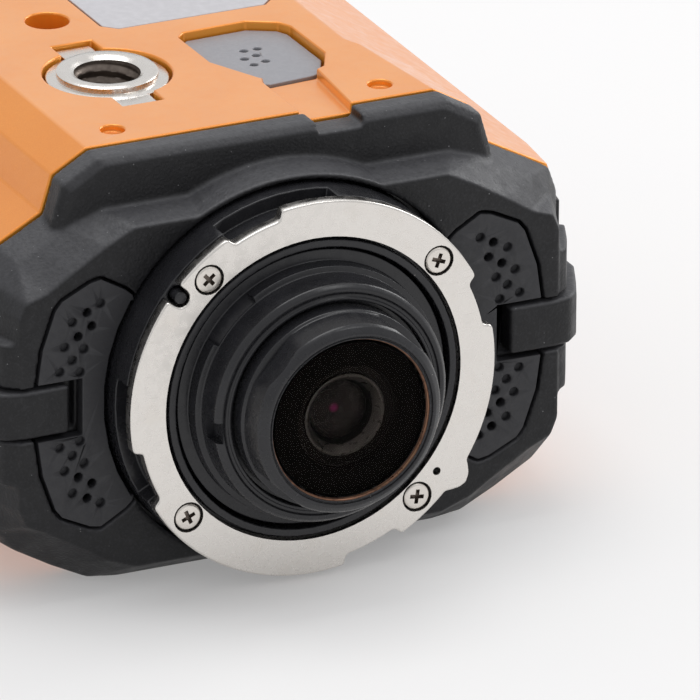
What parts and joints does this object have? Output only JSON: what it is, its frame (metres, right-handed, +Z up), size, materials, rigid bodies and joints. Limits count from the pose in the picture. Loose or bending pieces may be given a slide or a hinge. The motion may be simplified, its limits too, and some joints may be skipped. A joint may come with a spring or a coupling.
{
  "type": "action camera",
  "caption": "Box-shaped waterproof action camera with a bayonet ring around a stepped wide lens, rubber bumper, tripod socket and a hinged battery door.",
  "frame": {"origin": "centre of the bounding box's footprint, at the screen face that the camera lies on", "axes": "+Y from the lens to the battery door, +Z up through the tripod face, +X to the right when looking along +Y"},
  "size_m": [0.0666, 0.0896, 0.043],
  "materials": {
    "rubber_black": "matt moulded rubber with a fine grain",
    "plastic_black": "satin black moulding",
    "grille_black": "matt black moulding",
    "orange_shell": "satin orange metallic lacquer",
    "stainless": "satin stainless steel",
    "screw_steel": "satin steel",
    "lens_glass": "coated optical glass",
    "panel_grey": "satin grey",
    "button_red": "satin red",
    "button_black": "satin black",
    "circuit_board": "green solder mask",
    "battery_wrap": "dark printed-free wrap"
  },
  "bodies": {
    "camera": {"front_bumper": "rubber_black", "side_rail_right": "rubber_black", "side_rail_left": "rubber_black", "side_grip_upper_right": "rubber_black", "side_grip_upper_left": "rubber_black", "side_grip_lower_right": "rubber_black", "side_grip_lower_left": "rubber_black", "rear_frame": "rubber_black", "case_gasket": "rubber_black", "bayonet_collar": "plastic_black", "lens_barrel": "plastic_black", "lens_bezel": "plastic_black", "lens_baffle": "plastic_black", "front_chassis": "plastic_black", "rear_bulkhead": "plastic_black", "speaker_unit": "plastic_black", "lcd_module": "plastic_black", "image_processor": "plastic_black", "memory_card": "plastic_black", "mic_grille_right": "grille_black", "mic_grille_left": "grille_black", "base_shell": "orange_shell", "top_shell": "orange_shell", "lens_mount_ring": "stainless", "tripod_socket": "stainless", "door_hinge_pin": "stainless", "usb_port": "stainless", "hdmi_port": "stainless", "mount_ring_screw_1": "screw_steel", "mount_ring_screw_2": "screw_steel", "mount_ring_screw_3": "screw_steel", "mount_ring_screw_4": "screw_steel", "case_screw_1": "screw_steel", "case_screw_2": "screw_steel", "case_screw_3": "screw_steel", "front_lens": "lens_glass", "inner_lens": "lens_glass", "lcd_window": "lens_glass", "image_sensor": "lens_glass", "speaker_cover": "panel_grey", "label_plate": "panel_grey", "microphone_right": "panel_grey", "microphone_left": "panel_grey", "sensor_board": "circuit_board", "main_board": "circuit_board", "button_board": "circuit_board", "battery": "battery_wrap"},
    "battery_door": {"battery_door": "plastic_black", "door_gasket": "rubber_black"},
    "door_latch": {"door_latch": "orange_shell"},
    "lock_pin": {"lock_pin": "plastic_black"},
    "record_button": {"record_button": "button_red"},
    "shutter_button": {"shutter_button": "panel_grey"},
    "power_button": {"power_button": "button_black"},
    "menu_button": {"menu_button": "button_black"},
    "ok_button": {"ok_button": "button_black"}
  },
  "joints": [
    {"name": "door_hinge", "type": "hinge", "parent": "camera", "child": "battery_door", "pos_m": [0.022, 0.0432, 0.0206], "axis": [0, 0, -1], "range_deg": [0, 105]},
    {"name": "latch_slide", "type": "slide", "parent": "battery_door", "child": "door_latch", "axis": [1, 0, 0], "range_m": [0, 0.0027]},
    {"name": "lock_pin_press", "type": "slide", "parent": "camera", "child": "lock_pin", "axis": [0, 1, 0], "range_m": [0, 0.0015], "stiffness_N_per_m": 300, "springref_m": -0.001},
    {"name": "record_press", "type": "slide", "parent": "camera", "child": "record_button", "axis": [0, 0, 1], "range_m": [0, 0.0006], "stiffness_N_per_m": 900, "springref_m": -0.0004},
    {"name": "shutter_press", "type": "slide", "parent": "camera", "child": "shutter_button", "axis": [0, 0, 1], "range_m": [0, 0.0006], "stiffness_N_per_m": 900, "springref_m": -0.0004},
    {"name": "power_press", "type": "slide", "parent": "camera", "child": "power_button", "axis": [0, 0, 1], "range_m": [0, 0.0006], "stiffness_N_per_m": 900, "springref_m": -0.0004},
    {"name": "menu_press", "type": "slide", "parent": "camera", "child": "menu_button", "axis": [0, 0, 1], "range_m": [0, 0.0006], "stiffness_N_per_m": 900, "springref_m": -0.0004},
    {"name": "ok_press", "type": "slide", "parent": "camera", "child": "ok_button", "axis": [0, 0, 1], "range_m": [0, 0.0006], "stiffness_N_per_m": 900, "springref_m": -0.0004}
  ]
}
